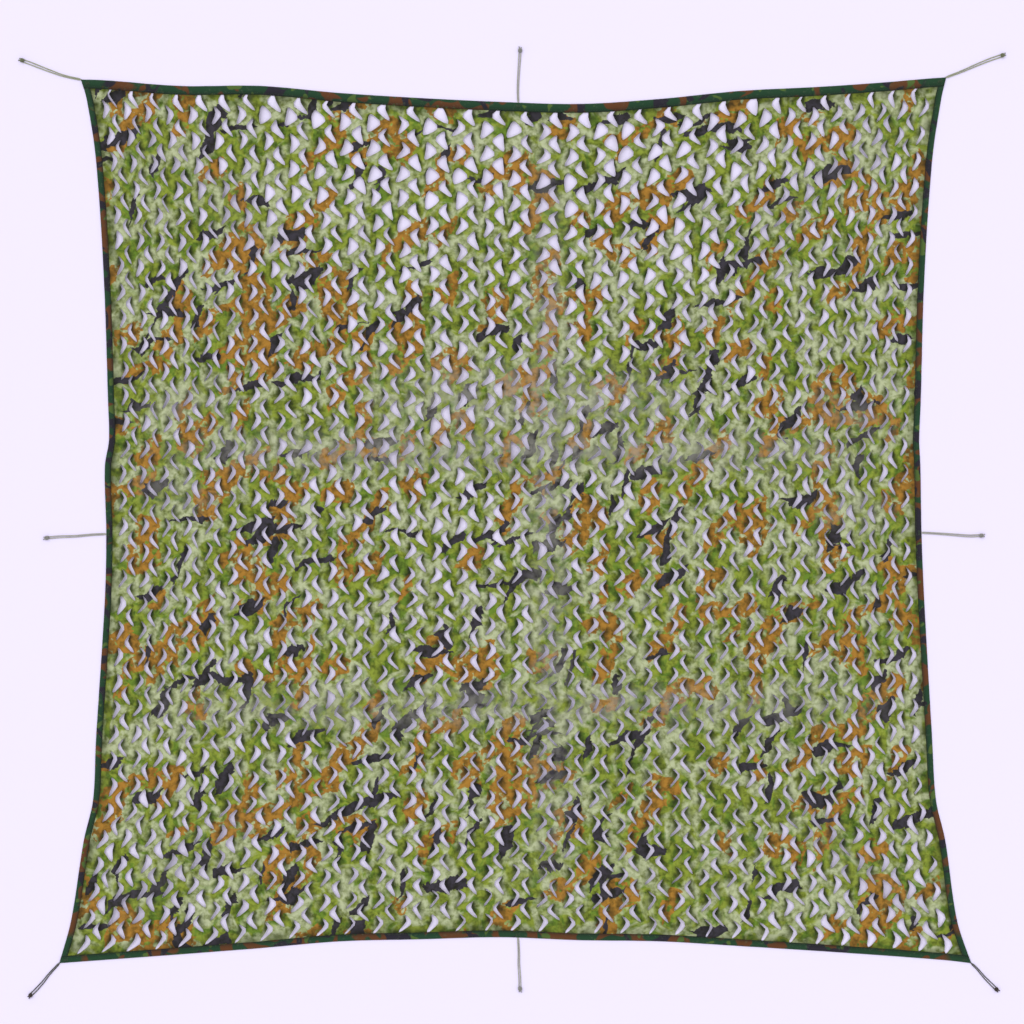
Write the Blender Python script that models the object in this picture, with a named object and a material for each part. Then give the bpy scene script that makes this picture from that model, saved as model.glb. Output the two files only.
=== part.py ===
# Camouflage net: one cloth panel, slit all over with chevrons and pulled open, its edge bound in folded
# tape, with a doubled cord tie at each corner and at the middle of each side. It lies flat, face up.
# The net's own repeat is 88 by 85 mm and holds two gaps. The panel here is cut at twice that pitch, with
# one gap to a cell, and rows that face left and right by turns.
# Sizes are in millimetres until a mesh or a curve is made.

import math
from collections import namedtuple

import bmesh
import bpy
from mathutils import Matrix, Vector

METRES = 0.001  # one millimetre

# Outer edge of the binding, from the net's centre. Every edge bows inwards between the ties.
SideRow = namedtuple("SideRow", "height left right")
SIDE_TABLE = [SideRow(*row) for row in (
    (-1501, -1545, 1545),
    (-1355, -1505, 1497),
    (-1084, -1462, 1457),
    (-949, -1431, 1426),
    (-745, -1421, 1413),
    (-270, -1391, 1386),
    (-50, -1386, 1377),
    (180, -1391, 1373),
    (272, -1377, 1369),
    (400, -1380, 1374),
    (814, -1394, 1386),
    (1221, -1421, 1413),
    (1425, -1452, 1443),
    (1501, -1474, 1460),
)]
EndRow = namedtuple("EndRow", "across top bottom")
END_TABLE = [EndRow(*row) for row in (
    (-1545, 1493, -1501),
    (-1408, 1492, -1491),
    (-1136, 1472, -1471),
    (-865, 1472, -1450),
    (-594, 1448, -1427),
    (-323, 1431, -1420),
    (-52, 1418, -1413),
    (220, 1411, -1423),
    (491, 1428, -1427),
    (762, 1455, -1443),
    (1033, 1469, -1460),
    (1237, 1483, -1474),
    (1460, 1501, -1491),
    (1545, 1501, -1501),
)]
SETTLE_STEPS = 6  # rounds that bring a point's two coordinates into step with the curved edges

# Cloth panel
CLOTH_THICK = 1.6
CELLS_ACROSS = 16
CELL_ROWS = 17
CLOTH_EDGE = 8.0  # from the tape's fold to the cloth's edge inside it
LEVEL_STRIP = 4.0  # cloth that stays level past the tape
MARGIN = 18.0  # uncut cloth between the tape and the first cells

# One gap, a slit shaped like a chevron that points left, from its cell's centre
GAP_POINT = Vector((-38.0, 12.0))
GAP_TAIL = Vector((34.0, -56.0))
GAP_UPPER = Vector((0.0, 52.0))
UPPER_SHIFT = Vector((0.75, -0.18))  # how the blunt upper end widens as the gap opens
TONGUE_SHIFT = Vector((1.15, -0.05))  # how the tongue draws back as the gap opens
TONGUE_RISE = 0.2  # height of the curled tongue for each millimetre of opening
UPPER_RISE = 0.07
OPENING = 24.0
WIDEST = 62.0
# Where the cloth is pulled wider open
OpenSpot = namedtuple("OpenSpot", "across height reach opening")
OPEN_SPOTS = [OpenSpot(*row) for row in (
    (-560, 1420, 620, 30),
    (560, 1420, 620, 28),
    (0, 980, 520, 20),
    (-60, 20, 560, 16),
    (-1340, -1300, 420, 16),
    (1340, -1300, 420, 14),
)]
# Soft creases and slack waves that stand off the ground
Fold = namedtuple("Fold", "start_x start_y end_x end_y half_width height")
FOLDS = [Fold(*row) for row in (
    (112, 1290, 120, -1300, 100, 8),
    (-1270, 240, 1250, 226, 100, 9),
    (-1290, -640, 1290, -618, 100, 8),
    (-1320, 1350, -700, 860, 95, 12),
    (1310, 1360, 720, 900, 95, 11),
    (-1400, -1370, -860, -960, 105, 14),
    (1400, -1360, 880, -940, 105, 13),
    (-1310, 330, -940, 470, 80, 10),
    (-1310, 130, -1000, 60, 80, 9),
    (1300, 300, 960, 420, 80, 9),
    (1300, 60, 1000, 10, 80, 8),
)]
FOLD_FADE = 0.6  # how quickly a fold dies out at its ends

# Binding tape, folded over the cloth's edge
TAPE_WIDTH = {"top": 30.0, "bottom": 23.0, "left": 21.0, "right": 21.0}
TAPE_THICK = 0.9
TAPE_FOLD = 1.5
TAPE_STEPS = 27
END_SHARE = 0.008  # a short first and last step, where the side tapes end against the other two
CLEAR = 0.3  # between pieces that meet
CLOTH_LEVEL = TAPE_THICK + CLEAR
TAPE_HEIGHT = CLOTH_LEVEL + CLOTH_THICK + CLEAR + TAPE_THICK

# Ties: two strands side by side, which spread a little on their way to a knot
CORD = 4.0
CORD_STEP = 3.0 * CORD
CORD_SIDES = 2  # the curve's bevel resolution
ROOT_SPACING = CORD + CLEAR
ROOT_GAP = 0.4  # from the tape's fold to the strands, which meet it at a slight slant
KNOT_LENGTH = 14.0
KNOT_HEIGHT = 9.0
KNOT_LIP = 1.0  # how far a knot stands out beside its strands
KNOT_SIDES = 8
KNOT_RINGS = 6
KNOT_TRIM = 0.5  # share of the round form's half length that its flat ends leave
# A tie starts part of the way along a tape. Its route runs on from there to the knot's near end.
Tie = namedtuple("Tie", "name side along spread route")
TIES = [Tie(*row) for row in (
    ("top_left", "top", 0, 8.6, ((-1529, 1506), (-1583, 1525), (-1637, 1546), (-1664, 1556))),
    ("top", "top", 0.505, 6.4, ((9, 1455), (10, 1490), (13, 1540), (16, 1585))),
    ("top_right", "top", 1, 8.4, ((1508, 1519), (1557, 1540), (1606, 1560), (1644, 1573))),
    ("right", "right", 0.485, 6.2, ((1430, -45), (1484, -49), (1536, -53), (1572, -52))),
    ("bottom_right", "bottom", 1, 8.2, ((1566, -1521), (1590, -1549), (1612, -1571), (1625, -1584))),
    ("bottom", "bottom", 0.504, 6.4, ((12, -1460), (12, -1503), (15, -1548), (16, -1580))),
    ("bottom_left", "bottom", 0, 8.8, ((-1579, -1538), (-1602, -1567), (-1624, -1591), (-1637, -1604))),
    ("left", "left", 0.485, 6.2, ((-1435, -49), (-1490, -54), (-1544, -56), (-1580, -59))),
)]

Inset = namedtuple("Inset", "left right top bottom")
FLUSH = Inset(0.0, 0.0, 0.0, 0.0)


def clear_scene():
    for item in list(bpy.data.objects):
        bpy.data.objects.remove(item, do_unlink=True)


def make_material(name, colour, roughness):
    material = bpy.data.materials.new(name)
    material.use_nodes = True
    shader = material.node_tree.nodes["Principled BSDF"]
    shader.inputs["Base Color"].default_value = (*colour, 1.0)
    shader.inputs["Roughness"].default_value = roughness
    shader.inputs["Metallic"].default_value = 0.0
    return material


def add_object(name, data, material, collection):
    item = bpy.data.objects.new(name, data)
    data.materials.append(material)
    collection.objects.link(item)


def finish_mesh(name, mesh_builder, material, collection):
    """Turn a bmesh in millimetres into an object in metres."""
    bmesh.ops.scale(mesh_builder, vec=(METRES, METRES, METRES), verts=mesh_builder.verts)
    bmesh.ops.recalc_face_normals(mesh_builder, faces=mesh_builder.faces)
    mesh = bpy.data.meshes.new(name)
    mesh_builder.to_mesh(mesh)
    mesh_builder.free()
    add_object(name, mesh, material, collection)


def edge_value(table, column, position):
    """Read a smooth curve through one column of a table, at a position in its first column."""
    last = len(table) - 1
    index = min(max(sum(row[0] <= position for row in table) - 1, 0), last - 1)
    before, start = table[max(index - 1, 0)], table[index]
    end, after = table[index + 1], table[min(index + 2, last)]
    span = end[0] - start[0]
    t = (position - start[0]) / span
    here, there = getattr(start, column), getattr(end, column)
    slope_here = (there - getattr(before, column)) / (end[0] - before[0]) * span
    slope_there = (getattr(after, column) - here) / (after[0] - start[0]) * span
    bend = 2 * (here - there) + slope_here + slope_there
    return here + t * (slope_here + t * (3 * (there - here) - 2 * slope_here - slope_there + t * bend))


def place(u, v, inset):
    """Point at u across and v up the net, counted inside margins that follow its curved edges."""
    x, y = 0.0, 0.0
    for _ in range(SETTLE_STEPS):
        left = edge_value(SIDE_TABLE, "left", y) + inset.left
        right = edge_value(SIDE_TABLE, "right", y) - inset.right
        x = left + (right - left) * u
        low = edge_value(END_TABLE, "bottom", x) + inset.bottom
        high = edge_value(END_TABLE, "top", x) - inset.top
        y = low + (high - low) * v
    return Vector((x, y))


def tape_inset(extra):
    return Inset(*(TAPE_WIDTH[side] + extra for side in Inset._fields))


def fold_height(spot):
    """Height of the creases at a spot, and exactly 0 wherever the cloth lies on the ground."""
    lift = 0.0
    for fold in FOLDS:
        start = Vector((fold.start_x, fold.start_y))
        run = Vector((fold.end_x, fold.end_y)) - start
        along = (spot - start).dot(run) / run.length_squared
        if not 0.0 < along < 1.0:
            continue
        off = (spot - start - run * along).length / fold.half_width
        if off < 1.0:
            crest = fold.height * math.sin(math.pi * along) ** FOLD_FADE
            lift = max(lift, crest * (1.0 - off * off) ** 2)
    return lift


def opening_at(spot):
    """How far the gaps stand open at a spot."""
    wider = 0.0
    for pull in OPEN_SPOTS:
        off = (spot - Vector((pull.across, pull.height))).length / pull.reach
        wider += pull.opening * math.exp(-off * off)
    return min(OPENING + wider, WIDEST)


# A cell's corners, in half cells across and rows up. The chevron's own points are named as on the cloth.
CELL_CORNERS = {"SW": (0, 0), "S": (1, 0), "SE": (2, 0), "NW": (0, 1), "N": (1, 1), "NE": (2, 1)}
CELL_FACES = (
    ("NW", "SW", "point"),
    ("SW", "S", "tail", "point"),
    ("S", "SE", "tail"),
    ("tail", "SE", "tongue"),
    ("SE", "NE", "tongue"),
    ("NE", "upper_inner", "tongue"),
    ("NE", "N", "upper_inner"),
    ("N", "upper_outer", "upper_inner"),
    ("N", "NW", "upper_outer"),
    ("NW", "point", "upper_outer"),
)


def gap_points(opening):
    """The chevron's corners from its cell's centre, each with its height above the cloth."""
    return {
        "point": (GAP_POINT, 0.0),
        "tail": (GAP_TAIL, 0.0),
        "tongue": (GAP_POINT + TONGUE_SHIFT * opening, TONGUE_RISE * opening),
        "upper_inner": (GAP_UPPER + UPPER_SHIFT * opening, UPPER_RISE * opening),
        "upper_outer": (GAP_UPPER, 0.0),
    }


def add_cloth_point(net, spot, height):
    return net.verts.new((spot.x, spot.y, height))


def add_cell(net, lattice, start, row, cell_size):
    """One cell of cloth with its gap. Rows with an odd number face the other way."""
    turn = -1 if row % 2 else 1
    inset = tape_inset(MARGIN)
    u_centre = (start + 1) / (2 * CELLS_ACROSS)
    v_centre = (row + 0.5) / CELL_ROWS
    corners = {}
    for name, (across, up) in CELL_CORNERS.items():
        column = start + (across if turn > 0 else 2 - across)
        corners[name] = lattice[column, row + up]
    opening = opening_at(place(u_centre, v_centre, inset))
    for name, (offset, rise) in gap_points(opening).items():
        u = u_centre + turn * offset.x / cell_size.x / CELLS_ACROSS
        v = v_centre + offset.y / cell_size.y / CELL_ROWS
        spot = place(u, v, inset)
        corners[name] = add_cloth_point(net, spot, fold_height(spot) + rise)
    for names in CELL_FACES:
        face = [corners[name] for name in names]
        net.faces.new(face if turn > 0 else face[::-1])


def add_half_cell(net, lattice, start, row):
    """Uncut cloth at either end of a shifted row."""
    corners = ((start, row), (start + 1, row), (start + 1, row + 1), (start, row + 1))
    net.faces.new([lattice[corner] for corner in corners])


def ring_path():
    """The lattice's outer points in turn, as columns and rows."""
    columns, rows = 2 * CELLS_ACROSS, CELL_ROWS
    path = [(column, 0) for column in range(columns)]
    path += [(columns, row) for row in range(rows)]
    path += [(column, rows) for column in range(columns, 0, -1)]
    path += [(0, row) for row in range(rows, 0, -1)]
    return path


def add_margin(net, inner, inset, height):
    """A strip of uncut cloth outside a ring of points. It gives back its own outer ring."""
    path = ring_path()
    outer = {}
    for column, row in path:
        spot = place(column / (2 * CELLS_ACROSS), row / CELL_ROWS, inset)
        outer[column, row] = add_cloth_point(net, spot, height)
    for here, there in zip(path, path[1:] + path[:1]):
        net.faces.new((outer[here], outer[there], inner[there], inner[here]))
    return outer


def make_net(material, collection):
    net = bmesh.new()
    inset = tape_inset(MARGIN)
    lattice = {}
    for row in range(CELL_ROWS + 1):
        for column in range(2 * CELLS_ACROSS + 1):
            spot = place(column / (2 * CELLS_ACROSS), row / CELL_ROWS, inset)
            lattice[column, row] = add_cloth_point(net, spot, fold_height(spot))
    width = place(1, 0.5, inset).x - place(0, 0.5, inset).x
    depth = place(0.5, 1, inset).y - place(0.5, 0, inset).y
    cell_size = Vector((width / CELLS_ACROSS, depth / CELL_ROWS))
    for row in range(CELL_ROWS):
        shift = row % 2
        for start in range(shift, 2 * CELLS_ACROSS - 1, 2):
            add_cell(net, lattice, start, row, cell_size)
        for start in (0, 2 * CELLS_ACROSS - 1)[:2 * shift]:
            add_half_cell(net, lattice, start, row)
    level = add_margin(net, lattice, tape_inset(LEVEL_STRIP), CLOTH_LEVEL)
    add_margin(net, level, Inset(*[CLOTH_EDGE] * len(Inset._fields)), CLOTH_LEVEL)
    bmesh.ops.triangulate(net, faces=net.faces)
    raised = bmesh.ops.extrude_face_region(net, geom=net.faces[:])["geom"]
    top = [item for item in raised if isinstance(item, bmesh.types.BMVert)]
    bmesh.ops.translate(net, vec=(0, 0, CLOTH_THICK), verts=top)
    finish_mesh("net_panel", net, material, collection)


def tape_section(outer, inner):
    """The folded tape across its width, open on the side that takes the cloth's edge."""
    across = (inner - outer).normalized()
    width = (inner - outer).length
    under, over = TAPE_THICK, TAPE_HEIGHT - TAPE_THICK
    profile = ((0, 0), (width, 0), (width, under), (TAPE_FOLD, under),
               (TAPE_FOLD, over), (width, over), (width, TAPE_HEIGHT), (0, TAPE_HEIGHT))
    return [(*(outer + across * t), z) for t, z in profile]


def tape_stations(side):
    """Outer and inner points along one tape. The side tapes stop short of the other two."""
    short = {"top": TAPE_WIDTH["top"] + CLEAR, "bottom": TAPE_WIDTH["bottom"] + CLEAR}
    outer_inset = FLUSH if side in short else FLUSH._replace(**short)
    inner_inset = outer_inset._replace(**{side: TAPE_WIDTH[side]})
    shares = [step / TAPE_STEPS for step in range(TAPE_STEPS + 1)]
    for t in sorted(shares + [END_SHARE, 1 - END_SHARE]):
        u, v = {"top": (t, 1), "bottom": (t, 0), "left": (0, t), "right": (1, t)}[side]
        yield t, place(u, v, outer_inset), place(u, v, inner_inset)


def make_tape(side, material, collection):
    tape = bmesh.new()
    sections = []
    for _, outer, inner in tape_stations(side):
        sections.append([tape.verts.new(point) for point in tape_section(outer, inner)])
    for here, there in zip(sections, sections[1:]):
        for index in range(len(here)):
            following = (index + 1) % len(here)
            tape.faces.new((here[index], here[following], there[following], there[index]))
    tape.faces.new(sections[0][::-1])
    tape.faces.new(sections[-1])
    finish_mesh("tape_" + side, tape, material, collection)


def smooth_route(points, step):
    """Points a step apart on one smooth curve through a route's own points."""
    spots = [Vector(point) for point in points]
    ends = [2 * spots[0] - spots[1]] + spots + [2 * spots[-1] - spots[-2]]
    smooth = []
    for index in range(1, len(ends) - 2):
        before, start, end, after = ends[index - 1:index + 3]
        pieces = max(1, round((end - start).length / step))
        for piece in range(pieces):
            t = piece / pieces
            bend = (2 * before - 5 * start + 4 * end - after) * t * t
            twist = (3 * start - before - 3 * end + after) * t ** 3
            smooth.append(start + ((end - before) * t + bend + twist) / 2)
    return smooth + [spots[-1]]


def tie_root(tie):
    """Where the tie leaves its tape, just off the fold and on the way to its route."""
    stations = list(tape_stations(tie.side))
    for (low, start, _), (high, end, _) in zip(stations, stations[1:]):
        if low <= tie.along <= high:
            edge = start.lerp(end, (tie.along - low) / (high - low))
    return edge + (Vector(tie.route[0]) - edge).normalized() * ROOT_GAP


def strand_route(tie, hand):
    """One strand of a tie, beside its partner at the root and further off at the knot."""
    centre = smooth_route((tie_root(tie), *tie.route), CORD_STEP)
    strand = []
    for index, spot in enumerate(centre):
        ahead = centre[min(index + 1, len(centre) - 1)] - centre[max(index - 1, 0)]
        aside = Vector((-ahead.y, ahead.x)).normalized()
        t = index / (len(centre) - 1)
        spacing = ROOT_SPACING + (tie.spread - ROOT_SPACING) * t * t * (3 - 2 * t)
        strand.append(spot + aside * hand * spacing / 2)
    return strand


def make_strand(name, route, material, collection):
    curve = bpy.data.curves.new(name, "CURVE")
    curve.dimensions = "3D"
    curve.bevel_depth = CORD / 2 * METRES
    curve.bevel_resolution = CORD_SIDES
    curve.use_fill_caps = True
    spline = curve.splines.new("POLY")
    spline.points.add(len(route) - 1)
    for point, spot in zip(spline.points, route):
        point.co = (spot.x * METRES, spot.y * METRES, CORD / 2 * METRES, 1)
    add_object(name, curve, material, collection)


def make_knot(tie, material, collection):
    """A rounded knot lying on the ground, with a flat end that the two strands run into."""
    near = Vector(tie.route[-1])
    away = (near - Vector(tie.route[-2])).normalized()
    aside = Vector((-away.y, away.x))
    half_width = (tie.spread + CORD) / 2 + KNOT_LIP
    knot = bmesh.new()
    bmesh.ops.create_uvsphere(knot, u_segments=KNOT_SIDES, v_segments=KNOT_RINGS, radius=1,
                              matrix=Matrix.Rotation(math.pi / 2, 4, "Y"))
    for vert in knot.verts:
        along = max(-KNOT_TRIM, min(KNOT_TRIM, vert.co.x)) / KNOT_TRIM
        spot = near + away * (CLEAR + (1 + along) * KNOT_LENGTH / 2) + aside * vert.co.y * half_width
        vert.co = (spot.x, spot.y, (1 + vert.co.z) * KNOT_HEIGHT / 2)
    finish_mesh("knot_" + tie.name, knot, material, collection)


def main():
    clear_scene()
    collection = bpy.data.collections.new("camouflage_net")
    bpy.context.scene.collection.children.link(collection)
    cloth = make_material("printed_cloth", (0.33, 0.45, 0.07), 0.85)
    tape = make_material("binding_tape", (0.03, 0.09, 0.04), 0.8)
    cord = make_material("tie_cord", (0.32, 0.33, 0.24), 0.75)
    make_net(cloth, collection)
    for side in TAPE_WIDTH:
        make_tape(side, tape, collection)
    for tie in TIES:
        make_strand(f"tie_{tie.name}_a", strand_route(tie, 1), cord, collection)
        make_strand(f"tie_{tie.name}_b", strand_route(tie, -1), cord, collection)
        make_knot(tie, cord, collection)


main()
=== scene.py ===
import math
import random

import bmesh
import bpy
from mathutils import Matrix, Vector, noise


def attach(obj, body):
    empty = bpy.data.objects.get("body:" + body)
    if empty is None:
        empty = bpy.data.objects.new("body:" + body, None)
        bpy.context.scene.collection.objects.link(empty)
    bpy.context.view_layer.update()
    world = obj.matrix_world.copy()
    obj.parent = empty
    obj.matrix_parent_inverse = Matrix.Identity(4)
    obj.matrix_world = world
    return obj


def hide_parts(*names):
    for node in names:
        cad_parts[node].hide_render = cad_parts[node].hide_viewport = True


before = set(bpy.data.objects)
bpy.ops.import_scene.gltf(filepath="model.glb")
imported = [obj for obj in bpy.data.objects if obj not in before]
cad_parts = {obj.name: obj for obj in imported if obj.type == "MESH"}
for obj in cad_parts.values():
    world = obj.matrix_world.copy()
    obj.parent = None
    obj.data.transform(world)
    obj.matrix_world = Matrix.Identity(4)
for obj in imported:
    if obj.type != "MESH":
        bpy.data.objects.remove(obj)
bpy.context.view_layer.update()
print("frame loaded,", len(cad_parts), "solids")

# ---- the net's outline, as on the solids, in metres from its centre

# height, left edge, right edge
sideEdges = [
    (-1.501, -1.545, 1.545), (-1.355, -1.505, 1.497), (-1.084, -1.462, 1.457), (-0.949, -1.431, 1.426),
    (-0.745, -1.421, 1.413), (-0.270, -1.391, 1.386), (-0.050, -1.386, 1.377), (0.180, -1.391, 1.373),
    (0.272, -1.377, 1.369), (0.400, -1.380, 1.374), (0.814, -1.394, 1.386), (1.221, -1.421, 1.413),
    (1.425, -1.452, 1.443), (1.501, -1.474, 1.460),
]
# across, top edge, bottom edge
endEdges = [
    (-1.545, 1.493, -1.501), (-1.408, 1.492, -1.491), (-1.136, 1.472, -1.471), (-0.865, 1.472, -1.450),
    (-0.594, 1.448, -1.427), (-0.323, 1.431, -1.420), (-0.052, 1.418, -1.413), (0.220, 1.411, -1.423),
    (0.491, 1.428, -1.427), (0.762, 1.455, -1.443), (1.033, 1.469, -1.460), (1.237, 1.483, -1.474),
    (1.460, 1.501, -1.491), (1.545, 1.501, -1.501),
]
sideNames = ("left", "right", "top", "bottom")
binding = {
    "width": {"left": 0.021, "right": 0.021, "top": 0.030, "bottom": 0.023},
    "cutLength": {"left": 2.90, "right": 2.90, "top": 2.98, "bottom": 2.98},
    "length": 3.0,  # about what each tape runs, for the spacing of its puckers and tacks
    "height": 0.004,
    "thick": 0.0009,
    "stations": 300,
    "pucker": 0.0007,
    "sway": 0.0006,
    "clear": 0.0003,
    "plainEnd": 0.04,  # share of the tape's length over which its print gives way to plain green
}


def edgeValue(table, column, position):
    # smooth curve through one column of an edge table
    last = len(table) - 1
    index = min(max(sum(row[0] <= position for row in table) - 1, 0), last - 1)
    before, start = table[max(index - 1, 0)], table[index]
    end, after = table[index + 1], table[min(index + 2, last)]
    span = end[0] - start[0]
    t = (position - start[0]) / span
    here, there = start[column], end[column]
    slopeHere = (there - before[column]) / (end[0] - before[0]) * span
    slopeThere = (after[column] - here) / (after[0] - start[0]) * span
    bend = 2 * (here - there) + slopeHere + slopeThere
    return here + t * (slopeHere + t * (3 * (there - here) - 2 * slopeHere - slopeThere + t * bend))


def placeAt(u, v, inset):
    # point at u across and v up the net, inside margins (left, right, top, bottom) that follow its edges
    x, y, rounds = 0.0, 0.0, 6  # rounds that bring the two coordinates into step with the bowed edges
    for _ in range(rounds):
        left = edgeValue(sideEdges, 1, y) + inset[0]
        right = edgeValue(sideEdges, 2, y) - inset[1]
        x = left + (right - left) * u
        low = edgeValue(endEdges, 2, x) + inset[3]
        high = edgeValue(endEdges, 1, x) - inset[2]
        y = low + (high - low) * v
    return Vector((x, y, 0))


# ---- camera, straight above the net

shot = {"middle": (-0.011, 0.028), "height": 10.0, "frameWidth": 3.471, "sensor": 36.0}
lens = bpy.data.cameras.new("camera")
lens.sensor_width = shot["sensor"]
lens.lens = shot["sensor"] * shot["height"] / shot["frameWidth"]
lens.clip_end = 100
camera = bpy.data.objects.new("camera", lens)
camera.location = (*shot["middle"], shot["height"])
bpy.context.scene.collection.objects.link(camera)
bpy.context.scene.camera = camera
print("camera set")


# ---- helpers for materials and pieces

def paint(code, light=0.83):
    # a screen colour such as 8b9a33 as linear values, less what the studio's light adds to it
    parts = [int(code[i:i + 2], 16) / 255 for i in (0, 2, 4)]
    return (*[light * (p / 12.92 if p <= 0.04045 else ((p + 0.055) / 1.055) ** 2.4) for p in parts], 1.0)


def addNode(tree, kind, inputs=None, **settings):
    made = tree.nodes.new("ShaderNode" + kind)
    for key, value in settings.items():
        setattr(made, key, value)
    for key, value in (inputs or {}).items():
        if isinstance(value, bpy.types.NodeSocket):
            tree.links.new(value, made.inputs[key])
        else:
            made.inputs[key].default_value = value
    return made


def mixPaint(tree, factor, under, over, blend="MIX"):
    made = addNode(tree, "Mix", {0: factor, 6: under, 7: over}, data_type="RGBA", blend_type=blend)
    return made.outputs[2]


def maths(tree, operation, first, second):
    return addNode(tree, "Math", {0: first, 1: second}, operation=operation).outputs[0]


def fade(tree, value, low, high):
    # 0 below low, 1 above high
    return addNode(tree, "MapRange", {"Value": value, "From Min": low, "From Max": high}).outputs[0]


def blotch(tree, coords, shift, scale, detail=1.5, distortion=0.6):
    moved = addNode(tree, "Mapping", {"Vector": coords, "Location": shift})
    made = addNode(tree, "TexNoise", {"Vector": moved.outputs[0], "Scale": scale, "Detail": detail,
                                      "Roughness": 0.5, "Distortion": distortion})
    return made.outputs[0]


def softPatches(tree, coords, shift, scale, detail, distortion, low, high):
    # 1 inside soft edged patches of noise, 0 outside them
    return fade(tree, blotch(tree, coords, shift, scale, detail, distortion), low, high)


def ragged(tree, coords, coarse, fine):
    # coordinates pushed about by ever finer noise, so that a pattern on them gets ragged edges
    for scale, amount in ((8.0, coarse), (34.0, fine), (110.0, fine * 0.3)):
        push = addNode(tree, "TexNoise", {"Vector": coords, "Scale": scale, "Detail": 2.0}).outputs[1]
        push = addNode(tree, "VectorMath", {0: push, 1: (0.5, 0.5, 0.5)}, operation="SUBTRACT").outputs[0]
        push = addNode(tree, "VectorMath", {0: push, "Scale": amount}, operation="SCALE").outputs[0]
        coords = addNode(tree, "VectorMath", {0: coords, 1: push}, operation="ADD").outputs[0]
    return coords


def cells(tree, coords, size, turn, shift, share):
    # 1 on a share of the cells of a broken pattern, 0 on the rest
    moved = addNode(tree, "Mapping", {"Vector": coords, "Location": shift, "Rotation": (0, 0, turn),
                                      "Scale": (*size, 1)}, vector_type="TEXTURE").outputs[0]
    made = addNode(tree, "TexVoronoi", {"Vector": moved, "Scale": 1.0}, voronoi_dimensions="2D")
    chance = addNode(tree, "SeparateColor", {0: made.outputs["Color"]}).outputs[0]
    return maths(tree, "LESS_THAN", chance, share)


def startMaterial(name, roughness, sheen=0.0):
    material = bpy.data.materials.new(name)
    material.use_nodes = True
    tree = material.node_tree
    shader = tree.nodes["Principled BSDF"]
    shader.inputs["Roughness"].default_value = roughness
    shader.inputs["Sheen Weight"].default_value = sheen
    shader.inputs["Specular IOR Level"].default_value = 0.25
    coords = tree.nodes.new("ShaderNodeTexCoord").outputs["Object"]
    return material, tree, shader, coords


def weave(tree, coords, shader, threads, strength, depth=0.0002, turn=0.0):
    # two crossed sets of threads, as a bump
    turned = addNode(tree, "Mapping", {"Vector": coords, "Rotation": (0, 0, turn)}).outputs[0]
    warp = addNode(tree, "TexWave", {"Vector": turned, "Scale": threads, "Distortion": 0.4,
                                     "Detail Scale": 40.0}, bands_direction="X").outputs[1]
    weft = addNode(tree, "TexWave", {"Vector": turned, "Scale": threads, "Distortion": 0.4,
                                     "Detail Scale": 40.0}, bands_direction="Y").outputs[1]
    cloth = maths(tree, "MULTIPLY", warp, weft)
    bump = addNode(tree, "Bump", {"Strength": strength, "Distance": depth, "Height": cloth})
    tree.links.new(bump.outputs[0], shader.inputs["Normal"])
    return cloth


def addPiece(name, bm, material, replaced=()):
    # a bmesh in metres becomes a piece that rides on the one body
    mesh = bpy.data.meshes.new(name)
    bm.to_mesh(mesh)
    bm.free()
    for polygon in mesh.polygons:
        polygon.use_smooth = True
    mesh.materials.append(material)
    piece = bpy.data.objects.new(name, mesh)
    bpy.context.scene.collection.objects.link(piece)
    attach(piece, "root")
    if replaced:
        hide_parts(*replaced)
    return piece


# ---- ties: two strands side by side, which spread a little on their way to a knot

ties = {
    "cord": 0.004,
    "cadStep": 0.012,
    "fineSteps": 4,  # short steps of the strand in each step of the solid's
    "tapeRuns": 27,  # straight runs of the solid tape, and a short one at each of its ends
    "shortRun": 0.008,
    "rootSpacing": 0.0043,
    "rootGap": 0.0004,
    "pinched": 0.55,  # share of the cord's thickness and spacing where it is sewn in under the fold
    "pinchLength": 0.007,
    "sewnIn": 0.003,
    "sides": 12,
    "plies": 3,
    "groove": 0.09,  # between the plies, in shares of the radius
    "turnsPerMetre": 75,
    # light and dark fibres of the strands, then of their knots
    "finishes": {
        "pale": ("b9bc98", "7f8364", "8b8f6c", "4c5240"),
        "grey": ("cccabf", "88877b", "aeada6", "6c6b64"),
        "dark": ("5d5e50", "33342b", "4a3d33", "251f1a"),
    },
    # the ties at the top corners are bleached, those at the bottom corners stained, and the rest are grey
    "finishAt": {"top_left": "pale", "top_right": "pale", "bottom_left": "dark", "bottom_right": "dark"},
    # name, tape, share of the way along it, spacing at the knot, route in metres
    "places": [
        ("top_left", "top", 0, 0.0086,
         ((-1.529, 1.506), (-1.583, 1.525), (-1.637, 1.546), (-1.664, 1.556))),
        ("top", "top", 0.505, 0.0064,
         ((0.009, 1.455), (0.010, 1.490), (0.013, 1.540), (0.016, 1.585))),
        ("top_right", "top", 1, 0.0084,
         ((1.508, 1.519), (1.557, 1.540), (1.606, 1.560), (1.644, 1.573))),
        ("right", "right", 0.485, 0.0062,
         ((1.430, -0.045), (1.484, -0.049), (1.536, -0.053), (1.572, -0.052))),
        ("bottom_right", "bottom", 1, 0.0082,
         ((1.566, -1.521), (1.590, -1.549), (1.612, -1.571), (1.625, -1.584))),
        ("bottom", "bottom", 0.504, 0.0064,
         ((0.012, -1.460), (0.012, -1.503), (0.015, -1.548), (0.016, -1.580))),
        ("bottom_left", "bottom", 0, 0.0088,
         ((-1.579, -1.538), (-1.602, -1.567), (-1.624, -1.591), (-1.637, -1.604))),
        ("left", "left", 0.485, 0.0062,
         ((-1.435, -0.049), (-1.490, -0.054), (-1.544, -0.056), (-1.580, -0.059))),
    ],
}
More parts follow.
